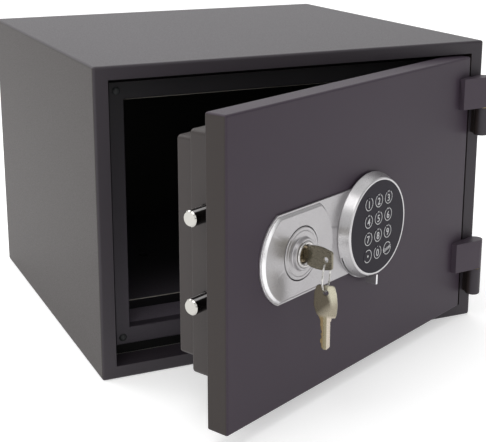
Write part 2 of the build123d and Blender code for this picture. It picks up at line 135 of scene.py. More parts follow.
def powder(name, dark, light, rlo=0.42, rhi=0.54, spec=0.5, grain=0.35, big=6.0, side=None, painted_top_shade=None):
    """Fine-textured powder coat: tiny grain, orange peel, slow drift in tone.  Optional painted side tone: faces turned
    one way get a second tone and specular level, painted light and shade standing in for how the light falls on that
    side.  Optional painted top shade: darker towards the top.
    """
    m, nt, b = new_mat(name)
    v = coords(nt)
    slow = noise(nt, v, big, 3.0, 0.55)
    fine = noise(nt, v, 900.0, 2.0, 0.6)
    peel = noise(nt, v, 260.0, 1.0, 0.5)
    tone = ramp(nt, slow, [(0.3, dark), (0.7, light)])
    speck = ramp(nt, fine, [(0.35, tuple(x * 0.86 for x in dark)), (0.66, tuple(min(1, x * 1.14) for x in light))])
    col = mixcol(nt, 0.35, tone, speck)
    # painted light and shade: faces turned the given way take the second tone, standing in for how the light falls on
    # that side
    if side:
        d = nt.nodes.new("ShaderNodeVectorMath"); d.operation = "DOT_PRODUCT"
        d.inputs[1].default_value = side[0]
        nt.links.new(nt.nodes.new("ShaderNodeTexCoord").outputs["Normal"], d.inputs[0])
        painted_side_mask = maprange(nt, d.outputs["Value"], 0.0, 1.0, 0.75, 0.97)
        col = mixcol(nt, painted_side_mask, col, side[1])
    if painted_top_shade:                                   # painted shade: darker towards the top, standing in for the shade of the upper rim over the recess
        z = nt.nodes.new("ShaderNodeSeparateXYZ")
        nt.links.new(v, z.inputs[0])
        col = mixcol(nt, maprange(nt, z.outputs["Z"], 0.0, 1.0, painted_top_shade[0], painted_top_shade[1]), col, painted_top_shade[2])
    nt.links.new(col, b.inputs["Base Color"])
    nt.links.new(maprange(nt, fine, rlo, rhi), b.inputs["Roughness"])
    b.inputs["Specular IOR Level"].default_value = spec
    if side and len(side) > 2:
        nt.links.new(maprange(nt, painted_side_mask, spec, side[2]), b.inputs["Specular IOR Level"])
    bump(nt, b, [(fine, grain, 0.00006), (peel, 0.25, 0.00008)])
    return m


def metal(name, c1, c2, rlo, rhi, metallic=1.0, scale=400.0, stretch=None, bs=0.12, bd=0.00003, coat=0.0, painted_glint=None):
    m, nt, b = new_mat(name)
    v = coords(nt)
    fine = noise(nt, v, scale, 3.0, 0.6, stretch)
    slow = noise(nt, v, 60.0, 2.0, 0.5)
    col = mixcol(nt, slow, c1, c2)
    if painted_glint:                                   # painted highlight: faces turned one way are painted pale
        d = nt.nodes.new("ShaderNodeVectorMath"); d.operation = "DOT_PRODUCT"
        d.inputs[1].default_value = painted_glint[0]
        nt.links.new(nt.nodes.new("ShaderNodeTexCoord").outputs["Normal"], d.inputs[0])
        col = mixcol(nt, maprange(nt, d.outputs["Value"], 0.0, 1.0, painted_glint[1], painted_glint[2]), col, painted_glint[3])
    nt.links.new(col, b.inputs["Base Color"])
    nt.links.new(maprange(nt, fine, rlo, rhi), b.inputs["Roughness"])
    b.inputs["Metallic"].default_value = metallic
    if coat:
        b.inputs["Coat Weight"].default_value = coat
        b.inputs["Coat Roughness"].default_value = 0.12
    bump(nt, b, [(fine, bs, bd)])
    return m


def plastic(name, c1, c2, rlo, rhi, spec=0.5, scale=700.0, bs=0.15, bd=0.00003):
    m, nt, b = new_mat(name)
    v = coords(nt)
    fine = noise(nt, v, scale, 2.0, 0.6)
    slow = noise(nt, v, 25.0, 2.0, 0.5)
    nt.links.new(mixcol(nt, slow, c1, c2), b.inputs["Base Color"])
    nt.links.new(maprange(nt, fine, rlo, rhi), b.inputs["Roughness"])
    b.inputs["Specular IOR Level"].default_value = spec
    bump(nt, b, [(fine, bs, bd)])
    return m


M = {}
# painted light and shade: the cabinet coat's faces turned to -X get a darker, warmer tone and a lower specular level,
# and the door coat's edge faces get a warmer tone, standing in for how the light falls on them
M["coat"] = powder("graphite_coat", (0.0276, 0.0226, 0.0284), (0.0328, 0.0266, 0.0335), spec=0.39, side=((-1.0, 0.0, 0.0), (0.0275, 0.0208, 0.0195), 0.26))
# painted light: the door, leaf, step and jamb coats are lighter copies of the one graphite coat, painted lighter to
# stand in for how the light falls on those parts
M["coat_door"] = powder("graphite_coat_door", (0.0375, 0.0270, 0.0388), (0.0422, 0.0305, 0.0436), spec=0.22, side=((-0.8988, -0.4384, 0.0), (0.035, 0.0285, 0.0265)))
M["coat_leaf"] = powder("graphite_coat_leaf", (0.045, 0.034, 0.046), (0.052, 0.039, 0.053), spec=0.30)
M["coat_step"] = powder("graphite_coat_step", (0.0358, 0.0292, 0.0278), (0.0413, 0.0336, 0.0322), spec=0.36)
# painted shade: the jamb coat is darkened towards the top
M["coat_jamb"] = powder("graphite_coat_jamb", (0.0395, 0.0335, 0.0425), (0.0460, 0.0390, 0.0495), spec=0.34, painted_top_shade=(0.060, 0.285, (0.0125, 0.0115, 0.0132)))


def chamber_mat():
    """Dark satin paint with painted light and shade: painted shade darker towards the back of the store, painted light
    palest on the floors and a painted highlight on rounded edges.
    """
    m, nt, b = new_mat("chamber_black")
    v = coords(nt)
    tc = nt.nodes.new("ShaderNodeTexCoord")
    sep = nt.nodes.new("ShaderNodeSeparateXYZ")
    nt.links.new(v, sep.inputs[0])
    nor = nt.nodes.new("ShaderNodeSeparateXYZ")
    nt.links.new(tc.outputs["Normal"], nor.inputs[0])
    # painted shade: the tones fall off with depth into the store
    painted_depth_shade = maprange(nt, sep.outputs["Y"], 0.0, 1.0, 0.068, 0.170)
    store = maprange(nt, sep.outputs["Y"], 0.0, 1.0, 0.0695, 0.0705)
    fine = noise(nt, v, 800.0, 2.0, 0.6)
    # painted light: faces turned up are painted far paler than the walls, palest on the front return floor
    painted_floor_light = mixcol(nt, store, (0.155, 0.135, 0.165), mixcol(nt, painted_depth_shade, (0.085, 0.075, 0.090), (0.030, 0.028, 0.030)))
    walls = mixcol(nt, painted_depth_shade, (0.010, 0.009, 0.0105), (0.012, 0.0125, 0.011))
    tone = mixcol(nt, maprange(nt, nor.outputs["Z"], 0.0, 1.0, 0.75, 0.97), walls, painted_floor_light)
    # painted highlight: rounded edges between faces turned along Y and faces turned along Z are painted pale
    yz = nt.nodes.new("ShaderNodeMath"); yz.operation = "MULTIPLY"
    nt.links.new(nor.outputs["Y"], yz.inputs[0]); nt.links.new(nor.outputs["Z"], yz.inputs[1])
    painted_edge_highlight = nt.nodes.new("ShaderNodeMath"); painted_edge_highlight.operation = "ABSOLUTE"
    nt.links.new(yz.outputs[0], painted_edge_highlight.inputs[0])
    tone = mixcol(nt, maprange(nt, painted_edge_highlight.outputs[0], 0.0, 1.0, 0.10, 0.30), tone, (0.42, 0.39, 0.35))
    nt.links.new(mixcol(nt, maprange(nt, fine, 0.0, 0.25, 0.3, 0.7), tone, (0.02, 0.018, 0.021)), b.inputs["Base Color"])
    nt.links.new(maprange(nt, fine, 0.40, 0.52), b.inputs["Roughness"])
    b.inputs["Specular IOR Level"].default_value = 0.25
    bump(nt, b, [(fine, 0.2, 0.00005)])
    return m


M["chamber"] = chamber_mat()
M["seal"] = plastic("seal_black", (0.004, 0.004, 0.004), (0.007, 0.007, 0.007), 0.75, 0.9, spec=0.2, scale=500, bs=0.4, bd=0.0001)
M["buffer"] = plastic("buffer_rubber", (0.02, 0.022, 0.023), (0.03, 0.032, 0.033), 0.5, 0.65, spec=0.4)
M["infill"] = plastic("infill_board", (0.50, 0.49, 0.45), (0.60, 0.59, 0.54), 0.85, 0.98, spec=0.2, scale=300, bs=0.5, bd=0.0003)
M["zinc"] = metal("zinc_steel", (0.50, 0.50, 0.50), (0.60, 0.60, 0.58), 0.30, 0.42, scale=300)


def bolt_mat():
    """Polished rod with painted reflection: dark painted flanks with one bright painted highlight streak along the
    upper side, pale turned end.
    """
    m, nt, b = new_mat("bolt_steel")
    n = nt.nodes.new("ShaderNodeSeparateXYZ")
    nt.links.new(nt.nodes.new("ShaderNodeTexCoord").outputs["Normal"], n.inputs[0])
    fine = noise(nt, coords(nt), 900.0, 2.0, 0.6)
    # painted highlight: a narrow band of normals is painted as a bright, rougher, less metallic streak; the rest of the
    # rod is painted dark as painted reflection
    up = maprange(nt, n.outputs["X"], 0.0, 1.0, 0.78, 0.85)
    dn = maprange(nt, n.outputs["X"], 1.0, 0.0, 0.95, 0.98)
    painted_streak = nt.nodes.new("ShaderNodeMath"); painted_streak.operation = "MULTIPLY"
    nt.links.new(up, painted_streak.inputs[0]); nt.links.new(dn, painted_streak.inputs[1])
    rod = mixcol(nt, painted_streak.outputs[0], (0.085, 0.083, 0.085), (0.60, 0.59, 0.59))
    end = mixcol(nt, fine, (0.46, 0.45, 0.42), (0.52, 0.51, 0.48))
    nt.links.new(mixcol(nt, maprange(nt, n.outputs["Z"], 0.0, 1.0, 0.25, 0.6), rod, end), b.inputs["Base Color"])
    nt.links.new(mixcol(nt, painted_streak.outputs[0], (0.10, 0.10, 0.10), (0.35, 0.35, 0.35)), b.inputs["Roughness"])
    nt.links.new(maprange(nt, painted_streak.outputs[0], 1.0, 0.35, 0.0, 1.0), b.inputs["Metallic"])
    bump(nt, b, [(fine, 0.06, 0.00003)])
    return m


M["bolt"] = bolt_mat()
# painted highlight: the plate's chamfer faces turned to the door's left are painted pale
M["plate"] = metal("plate_satin", (0.385, 0.374, 0.383), (0.425, 0.414, 0.423), 0.26, 0.34, metallic=0.85, scale=1400, bs=0.22, bd=0.00002,
                   painted_glint=((-0.8988, -0.4384, 0.0), 0.22, 0.5, (0.86, 0.85, 0.86)))
M["rosette"] = metal("rosette_satin", (0.395, 0.384, 0.392), (0.435, 0.424, 0.432), 0.26, 0.34, metallic=0.85, scale=1400, bs=0.22, bd=0.00002)
M["silver"] = metal("silver_satin", (0.54, 0.53, 0.54), (0.58, 0.57, 0.58), 0.26, 0.34, metallic=0.85, scale=1400, bs=0.22, bd=0.00002)
M["lever"] = metal("lever_steel", (0.50, 0.49, 0.50), (0.56, 0.55, 0.56), 0.24, 0.34, metallic=0.9, scale=900)


def fin_mat():
    """Lever: satin silver, with flanks painted dark as painted shade against the door and faces turned out of the door
    painted pale as a painted highlight.
    """
    m, nt, b = new_mat("lever_flank")
    d = nt.nodes.new("ShaderNodeSeparateXYZ")
    nt.links.new(nt.nodes.new("ShaderNodeTexCoord").outputs["Normal"], d.inputs[0])
    fine = noise(nt, coords(nt), 900.0, 3.0, 0.6)
    # painted highlight on faces turned out of the door, painted shade on the flanks
    painted_front_mask = maprange(nt, d.outputs["Z"], 0.0, 1.0, 0.35, 0.8)
    nt.links.new(mixcol(nt, painted_front_mask, mixcol(nt, fine, (0.140, 0.131, 0.140), (0.165, 0.155, 0.165)), (0.85, 0.84, 0.85)), b.inputs["Base Color"])
    nt.links.new(maprange(nt, fine, 0.26, 0.36), b.inputs["Roughness"])
    nt.links.new(maprange(nt, painted_front_mask, 0.1, 0.7, 0.0, 1.0), b.inputs["Metallic"])
    bump(nt, b, [(fine, 0.15, 0.00003)])
    return m


M["fin"] = fin_mat()
M["plug"] = metal("plug_bronze", (0.15, 0.115, 0.07), (0.24, 0.19, 0.12), 0.22, 0.34, metallic=0.9, scale=900)
M["dark_steel"] = metal("dark_steel", (0.05, 0.048, 0.045), (0.07, 0.066, 0.06), 0.35, 0.5, metallic=0.8)
M["nickel"] = metal("bright_nickel", (0.50, 0.485, 0.48), (0.56, 0.545, 0.535), 0.20, 0.30, scale=900)
M["panel"] = plastic("panel_black", (0.0165, 0.0140, 0.0205), (0.0205, 0.0175, 0.0250), 0.34, 0.42, spec=0.08, scale=1200, bs=0.12)
M["button"] = plastic("button_black", (0.0170, 0.0145, 0.0215), (0.0210, 0.0180, 0.0260), 0.32, 0.40, spec=0.08, scale=1200, bs=0.12)
M["print"] = plastic("key_print", (0.46, 0.46, 0.47), (0.52, 0.52, 0.53), 0.45, 0.55, spec=0.3)
M["board"] = plastic("board_green", (0.015, 0.10, 0.035), (0.02, 0.13, 0.045), 0.25, 0.35)
M["plastic"] = plastic("black_plastic", (0.018, 0.018, 0.018), (0.026, 0.026, 0.026), 0.45, 0.58, scale=500, bs=0.3, bd=0.00005)
M["cell"] = metal("cell_wrap", (0.10, 0.10, 0.11), (0.14, 0.14, 0.15), 0.25, 0.35, metallic=0.6)
M["brass"] = metal("brass_plain", (0.55, 0.42, 0.18), (0.62, 0.48, 0.22), 0.25, 0.38)
M["ring"] = metal("ring_steel", (0.60, 0.59, 0.57), (0.72, 0.71, 0.68), 0.10, 0.20)


def key_metal(name, base, dark=None, pale=None, cols=None):
    """Worn nickel with fine lengthwise scratches.  dark, pale: painted reflection, a dark and a pale tone painted on
    the bow's two halves along a leaning line; cols: painted reflection, three tones painted in bands across the blade.
    """
    m, nt, b = new_mat(name)
    v = coords(nt)
    sep = nt.nodes.new("ShaderNodeSeparateXYZ")
    nt.links.new(v, sep.inputs[0])
    scr = noise(nt, v, 1.0, 3.0, 0.6, (2600.0, 160.0, 900.0))
    blot = noise(nt, v, 330.0, 3.0, 0.65)
    tone = mixcol(nt, blot, tuple(0.92 * c for c in base), tuple(1.10 * c for c in base))
    if dark:
        # painted reflection: the bow is split into a painted dark half and a painted pale half along a leaning,
        # wobbling line, fading to the base tone towards the blade; the blade gets three painted bands across its width
        wob = nt.nodes.new("ShaderNodeMath"); wob.operation = "MULTIPLY_ADD"
        nt.links.new(blot, wob.inputs[0]); wob.inputs[1].default_value = 0.0020; nt.links.new(sep.outputs["X"], wob.inputs[2])
        lean = nt.nodes.new("ShaderNodeMath"); lean.operation = "MULTIPLY_ADD"
        nt.links.new(sep.outputs["Y"], lean.inputs[0]); lean.inputs[1].default_value = -0.30; nt.links.new(wob.outputs[0], lean.inputs[2])
        bow = mixcol(nt, maprange(nt, lean.outputs[0], 0.0, 1.0, -0.0026, 0.0008), pale, dark)
        low = nt.nodes.new("ShaderNodeMath"); low.operation = "ADD"
        nt.links.new(sep.outputs["Y"], low.inputs[0]); nt.links.new(wob.outputs[0], low.inputs[1])
        bow = mixcol(nt, maprange(nt, low.outputs[0], 1.0, 0.0, -0.0200, -0.0095), bow, base)
        blade = ramp(nt, maprange(nt, sep.outputs["X"], 0.0, 1.0, -0.0043, 0.0043),
                     [(0.0, cols[0]), (0.30, cols[0]), (0.38, cols[1]), (0.66, cols[1]), (0.74, cols[2]), (1.0, cols[2])])
        at = maprange(nt, sep.outputs["Y"], 1.0, 0.0, -0.0235, -0.0205)
        tone = mixcol(nt, at, bow, blade)
    fleck = ramp(nt, noise(nt, v, 1100.0, 2.0, 0.7), [(0.40, 0.86), (0.60, 1.0)])
    mul = nt.nodes.new("ShaderNodeMix"); mul.data_type = "RGBA"; mul.blend_type = "MULTIPLY"
    mul.inputs[0].default_value = 0.5
    nt.links.new(tone, mul.inputs[6]); nt.links.new(fleck, mul.inputs[7])
    nt.links.new(mul.outputs[2], b.inputs["Base Color"])
    nt.links.new(maprange(nt, scr, 0.20, 0.34), b.inputs["Roughness"])
    b.inputs["Metallic"].default_value = 0.85
    bump(nt, b, [(scr, 0.22, 0.00004)])
    return m


M["key"] = key_metal("key_nickel", (0.225, 0.205, 0.155))
M["spare"] = key_metal("key_spare", (0.29, 0.26, 0.20), (0.085, 0.072, 0.052), (0.48, 0.455, 0.355), ((0.52, 0.46, 0.385), (0.235, 0.205, 0.135), (0.20, 0.145, 0.075)))


def paint(node, mat):
    me = N[node].data
    me.materials.clear()
    me.materials.append(mat)
    for p in me.polygons:
        p.material_index = 0


FINISH = {
    "cabinet_shell": "coat", "back_panel": "coat", "jamb_frame": "coat_jamb", "jamb_buffers": "buffer", "fire_seal": "seal",
    "store_liner": "chamber", "strike_channel": "chamber", "anchor_sleeves": "dark_steel", "cabinet_infill": "infill",
    "hinge_fixed_barrels": "coat", "hinge_pins": "zinc", "hinge_washers": "brass",
    "door_skin": "coat_door", "door_infill": "infill", "door_back_plate": "coat_step", "bolt_box": "coat_step", "inner_cover": "coat_step",
    "inner_cover_board": "infill", "cover_screws": "zinc", "battery_tray": "plastic", "battery_cells": "cell", "battery_cover": "plastic",
    "hinge_leaves": "coat_leaf", "lock_plate": "plate", "lock_rosette": "silver", "lock_cylinder": "nickel", "cylinder_nut": "zinc",
    "spindle_bush": "brass", "keypad_housing": "silver", "keypad_face": "panel", "keypad_board": "board", "bolt_bushes": "dark_steel",
    "carrier_guides": "zinc", "bar_guide": "zinc", "solenoid_case": "zinc", "lever_disc": "lever", "lever_spindle": "zinc",
    "crank_arm": "zinc", "bolt_carrier": "zinc", "locking_bolts": "bolt", "bolt_screws": "zinc", "lock_plug": "plug", "lock_cam": "zinc",
    "locking_bar": "zinc", "solenoid_plunger": "zinc", "key": "key", "key_ring": "ring", "spare_key": "spare",
}
for n in N:
    paint(n, M[FINISH.get(n, "button")])


# ------------------------------------------------------------------ mesh helpers
def finish_bm(name, bm, mat, matrix, body, sharp=35.0):
    bmesh.ops.remove_doubles(bm, verts=bm.verts, dist=1e-7)
    bmesh.ops.recalc_face_normals(bm, faces=bm.faces)
    me = bpy.data.meshes.new(name)
    for e in bm.edges:
        e.smooth = len(e.link_faces) == 2 and e.calc_face_angle(0) < radians(sharp)
    for f in bm.faces:
        f.smooth = True
    bm.to_mesh(me)
    bm.free()
    return place(name, me, mat, matrix, body)


def place(name, me, mat, matrix, body):
    ob = bpy.data.objects.new(name, me)
    scene.collection.objects.link(ob)
    ob.matrix_world = matrix
    if mat is not None:
        me.materials.clear()
        me.materials.append(mat)
    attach(ob, body)
    return ob


def bevel(ob, width, segs=2, angle=32.0):
    b = ob.modifiers.new("bevel", "BEVEL")
    b.width = width * MM
    b.segments = segs
    b.limit_method = "ANGLE"
    b.angle_limit = radians(angle)
    b.harden_normals = True
    b.use_clamp_overlap = True
    b.miter_outer = "MITER_ARC"
    return ob


def lathe(bm, prof, segs=144, a0=0.0, a1=2 * pi, closed=True):
    """Profile of (radius, height) in mm round local Z.  closed: the profile is a loop off the axis."""
    full = abs(a1 - a0 - 2 * pi) < 1e-9
    n = segs if full else segs + 1
    rows = []
    for k in range(n):
        a = a0 + (a1 - a0) * k / segs
        rows.append([bm.verts.new((r * MM * cos(a), r * MM * sin(a), z * MM)) if r > 0 or k == 0 else None for r, z in prof])
    for k in range(n):
        for i, (r, z) in enumerate(prof):
            if rows[k][i] is None:
                rows[k][i] = rows[0][i]
    m = len(prof)
    for k in range(segs):
        p, q = rows[k], rows[(k + 1) % n]
        for i in range(m if closed else m - 1):
            j = (i + 1) % m
            vs = []
            for v in (p[i], q[i], q[j], p[j]):
                if v not in vs:
                    vs.append(v)
            if len(vs) > 2:
                bm.faces.new(vs)
    return rows


def rounded(prof, radius, steps=3, closed=True):
    """Rounds the profile's corners.  radius: one number or one per point."""
    out = []
    m = len(prof)
    for i, p in enumerate(prof):
        r = radius[i] if isinstance(radius, (list, tuple)) else radius
        if not closed and i in (0, m - 1) or r <= 0:
            out.append(p)
            continue
        a, b, c = Vector(prof[i - 1]), Vector(p), Vector(prof[(i + 1) % m])
        u, v = (a - b), (c - b)
        lu, lv = u.length, v.length
        if lu < 1e-6 or lv < 1e-6:
            out.append(p)
            continue
        u.normalize(); v.normalize()
        ang = u.angle(v)
        if ang > radians(172):
            out.append(p)
            continue
        t = min(r / math.tan(ang / 2), lu * 0.45, lv * 0.45)
        rr = t * math.tan(ang / 2)
        s, e = b + u * t, b + v * t
        cen = b + (u + v).normalized() * (rr / sin(ang / 2))
        va, vb = s - cen, e - cen
        th = va.angle_signed(vb) if va.length > 0 else 0
        for k in range(steps + 1):
            w = k / steps
            ca = math.atan2(va.y, va.x)
            cb = math.atan2(vb.y, vb.x)
            d = (cb - ca + pi) % (2 * pi) - pi
            out.append((cen.x + rr * cos(ca + d * w), cen.y + rr * sin(ca + d * w)))
    return out


def lathe_piece(name, prof, mat, matrix, body, r=0.25, closed=True, segs=144, steps=3, sharp=40):
    bm = bmesh.new()
    lathe(bm, rounded(prof, r, steps, closed), segs, closed=closed)
    ob = finish_bm(name, bm, mat, matrix, body, sharp)
    wn = ob.modifiers.new("normals", "WEIGHTED_NORMAL")
    wn.keep_sharp = True
    return ob


def band(bm, r0, r1, a0, a1, z0, z1, n=40, cx=0.0, cy=0.0):
    """Closed flat arc band."""
    full = abs(a1 - a0 - 2 * pi) < 1e-9
    rows = []
    cnt = n if full else n + 1
    for k in range(cnt):
        a = a0 + (a1 - a0) * k / n
        rows.append([bm.verts.new(((cx + r * cos(a)) * MM, (cy + r * sin(a)) * MM, z * MM)) for r, z in ((r0, z0), (r1, z0), (r1, z1), (r0, z1))])
    for k in range(n):
        p, q = rows[k], rows[(k + 1) % cnt]
        for i in range(4):
            j = (i + 1) % 4
            bm.faces.new((p[i], p[j], q[j], q[i]))
    if not full:
        bm.faces.new(rows[0])
        bm.faces.new(rows[-1][::-1])


def text_bm(bm, body, size, x, y, z, thick, rot=0.0, sx=1.0, bold=0.0):
    cu = bpy.data.curves.new("t", "FONT")
    cu.body = body
    cu.size = size * MM
    cu.align_x = "CENTER"
    cu.align_y = "CENTER"
    cu.extrude = thick * MM / 2
    cu.offset = bold * MM
    cu.resolution_u = 6
    ob = bpy.data.objects.new("t", cu)
    scene.collection.objects.link(ob)
    bpy.context.view_layer.update()
    me = bpy.data.meshes.new_from_object(ob.evaluated_get(bpy.context.evaluated_depsgraph_get()))
    co = [v.co for v in me.vertices]
    cx = (min(c.x for c in co) + max(c.x for c in co)) / 2
    cy = (min(c.y for c in co) + max(c.y for c in co)) / 2
    me.transform(Matrix.Translation((x * MM, y * MM, z * MM)) @ Matrix.Rotation(rot, 4, "Z") @ Matrix.Diagonal((sx, 1, 1, 1)) @ Matrix.Translation((-cx, -cy, 0)))
    bm.from_mesh(me)
    bpy.data.objects.remove(ob)
    bpy.data.curves.remove(cu)
    bpy.data.meshes.remove(me)


def outline_mesh(outline, holes, thick, bev, res=2):
    """Flat plate with rounded edges from an outline and round holes, mm, mid-plane at z 0."""
    cu = bpy.data.curves.new("o", "CURVE")
    cu.dimensions = "2D"
    cu.fill_mode = "BOTH"
    cu.extrude = (thick / 2 - bev) * MM
    cu.bevel_depth = bev * MM
    cu.bevel_resolution = res
    cu.offset = -bev * MM
    for pts in [outline] + [[(x + r * cos(2 * pi * k / 40), y + r * sin(2 * pi * k / 40)) for k in range(40)] for x, y, r in holes]:
        s = cu.splines.new("POLY")
        s.points.add(len(pts) - 1)
        for p, (x, y) in zip(s.points, pts):
            p.co = (x * MM, y * MM, 0, 1)
        s.use_cyclic_u = True
    ob = bpy.data.objects.new("o", cu)
    scene.collection.objects.link(ob)
    bpy.context.view_layer.update()
    me = bpy.data.meshes.new_from_object(ob.evaluated_get(bpy.context.evaluated_depsgraph_get()))
    bpy.data.objects.remove(ob)
    bpy.data.curves.remove(cu)
    bm = bmesh.new()
    bm.from_mesh(me)
    bpy.data.meshes.remove(me)
    bmesh.ops.remove_doubles(bm, verts=bm.verts, dist=2e-7)
    bmesh.ops.recalc_face_normals(bm, faces=bm.faces)
    out = bpy.data.meshes.new("o")
    bm.to_mesh(out)
    bm.free()
    return out


def cut(me, cutters):
    """Subtracts closed meshes from a mesh."""
    ob = bpy.data.objects.new("cut", me)
    scene.collection.objects.link(ob)
    tmp = []
    for c in cutters:
        o = bpy.data.objects.new("c", c)
        scene.collection.objects.link(o)
        tmp.append(o)
        b = ob.modifiers.new("b", "BOOLEAN")
        b.operation = "DIFFERENCE"
        b.solver = "EXACT"
        b.object = o
    bpy.context.view_layer.update()
    res = bpy.data.meshes.new_from_object(ob.evaluated_get(bpy.context.evaluated_depsgraph_get()))
    for o in tmp:
        bpy.data.objects.remove(o)
    bpy.data.objects.remove(ob)
    return res


def box_mesh(x0, y0, z0, x1, y1, z1):
    bm = bmesh.new()
    bmesh.ops.create_cube(bm, size=1.0, matrix=Matrix.Translation(((x0 + x1) / 2 * MM, (y0 + y1) / 2 * MM, (z0 + z1) / 2 * MM)) @ Matrix.Diagonal(((x1 - x0) * MM, (y1 - y0) * MM, (z1 - z0) * MM, 1)))
    me = bpy.data.meshes.new("b")
    bm.to_mesh(me)
    bm.free()
    return me


def smooth_angle(me, angle=35.0):
    bm = bmesh.new()
    bm.from_mesh(me)
    bmesh.ops.remove_doubles(bm, verts=bm.verts, dist=2e-7)
    for e in bm.edges:
        e.smooth = len(e.link_faces) == 2 and e.calc_face_angle(0) < radians(angle)
    for f in bm.faces:
        f.smooth = True
    bm.to_mesh(me)
    bm.free()
    return me


# ------------------------------------------------------------------ jamb and chamber
RA = (14.3, 13.0, W - 14.3, H - 13.0)
RB_ = (22.6, 23.5, W - 22.6, 286.5)
RC = (37.0, 41.0, W - 37.0, 270.0)
RL = (47.0, 51.0, W - 47.0, 260.0)


def grow(r, d):
    return (r[0] - d, r[1] - d, r[2] + d, r[3] + d)


def arc(r, d0, y0, d1, y1, rad, ybend, sign, n=4):
    """Loops round a soft edge: rectangle r grown from d0 to d1 while the depth goes y0 to y1."""
    out = []
    for k in range(n + 1):
        t = pi / 2 * k / n
        u = sin(t) if sign else 1 - cos(t)
        v = 1 - cos(t) if sign else sin(t)
        out.append((grow(r, d0 + (d1 - d0) * u), y0 + (y1 - y0) * v))
    return out


def loops_mesh(loops, cap=None, close=True):
    """Nested rectangular loops (rectangle, depth) joined into one skin.  cap: index of a loop to fill."""
    bm = bmesh.new()
    rings = [[bm.verts.new((x * MM, y * MM, z * MM)) for x, z in ((r[0], r[1]), (r[2], r[1]), (r[2], r[3]), (r[0], r[3]))] for r, y in loops]
    n = len(rings)
    for i in range(n if close else n - 1):
        a, b = rings[i], rings[(i + 1) % n]
        for k in range(4):
            bm.faces.new((a[k], a[(k + 1) % 4], b[(k + 1) % 4], b[k]))
    for c in (cap or []):
        bm.faces.new(rings[c])
    bmesh.ops.recalc_face_normals(bm, faces=bm.faces)
    me = bpy.data.meshes.new("loops")
    bm.to_mesh(me)
    bm.free()
    return me


def soft(me, angle=20):
    bm = bmesh.new()
    bm.from_mesh(me)
    for e in bm.edges:
        e.smooth = len(e.link_faces) == 2 and e.calc_face_angle(0) < radians(angle)
    for f in bm.faces:
        f.smooth = True
    bm.to_mesh(me)
    bm.free()
    return me


def cyl_mesh(x, y, z0, z1, r, n=40):
    bm = bmesh.new()
    bmesh.ops.create_cone(bm, cap_ends=True, segments=n, radius1=r * MM, radius2=r * MM, depth=(z1 - z0) * MM, matrix=Matrix.Translation((x * MM, y * MM, (z0 + z1) / 2 * MM)))
    me = bpy.data.meshes.new("c")
    bm.to_mesh(me)
    bm.free()
    return me


face = [(RC, 36.5)] + arc(RC, 0.0, 26.1, 1.1, 25.0, 0, 0, False) + arc(RB_, -1.1, 25.0, 0.0, 26.1, 0, 0, True) + [(RB_, 35.5), (grow(RB_, -1.5), 35.5), (grow(RB_, -1.5), 26.6), (grow(RC, 1.5), 26.6), (grow(RC, 1.5), 36.5)]
ob = place("jamb_skin", soft(loops_mesh(face), 30), M["coat_jamb"], CAB, "cabinet")
wn = ob.modifiers.new("normals", "WEIGHTED_NORMAL"); wn.keep_sharp = True
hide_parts("jamb_frame")
ob = place("jamb_flange", loops_mesh([(RA, 34.0), (RB_, 34.0), (RB_, 35.5), (RA, 35.5)]), M["coat_jamb"], CAB, "cabinet")

chamber = [(RC, 36.5), (RC, 70.0)] + arc(RL, 1.0, 70.0, 0.0, 71.0, 0, 0, True) + [(RL, 352.0)]
outer = [(grow(RL, 1.2), 353.2), (grow(RL, 1.2), 71.3), (grow(RC, 1.2), 71.3), (grow(RC, 1.2), 36.5)]
me = loops_mesh(chamber + outer, close=True)
bm = bmesh.new()
bm.from_mesh(me)
bm.verts.ensure_lookup_table()
k = (len(chamber) - 1) * 4
for f in [f for f in bm.faces if all(v.index in range(k, k + 8) for v in f.verts)]:
    bm.faces.remove(f)                                       # the back is a panel, not an open end
bm.faces.new([bm.verts[i] for i in range(k, k + 4)])
bm.faces.new([bm.verts[i] for i in range(k + 4, k + 8)])
bmesh.ops.recalc_face_normals(bm, faces=bm.faces)
bm.to_mesh(me)
bm.free()
me = cut(me, [box_mesh(30.0, 36.0, 105.5, 38.0, 54.5, 210.5), cyl_mesh(W / 2 - 100, D / 2, 46, 56, 6.0), cyl_mesh(W / 2 + 100, D / 2, 46, 56, 6.0)])
ob = place("chamber_skin", soft(me, 30), M["chamber"], CAB, "cabinet")
wn = ob.modifiers.new("normals", "WEIGHTED_NORMAL"); wn.keep_sharp = True
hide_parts("store_liner")

# ------------------------------------------------------------------ keypad head
# Turned housing, open at its skirt where the lever's fin comes through.
hp = [(48.6, 2.0), (51.0, 2.0), (50.9, 3.0), (47.3, 11.0), (46.9, 12.2), (46.0, 13.0), (44.5, 13.0), (44.5, 11.0), (42.9, 11.0), (42.9, 6.6), (46.0, 6.6), (48.6, 3.0)]
hr = [0.2, 0.3, 0.3, 0.9, 0.6, 0.5, 0.3, 0.1, 0.2, 0.2, 0.3, 0.0]
full = rounded(hp, hr, 4)
CUTZ = 4.6


def ang_of(t):                      # t degrees clockwise from straight down, seen from the front
    return radians(-90 - t)


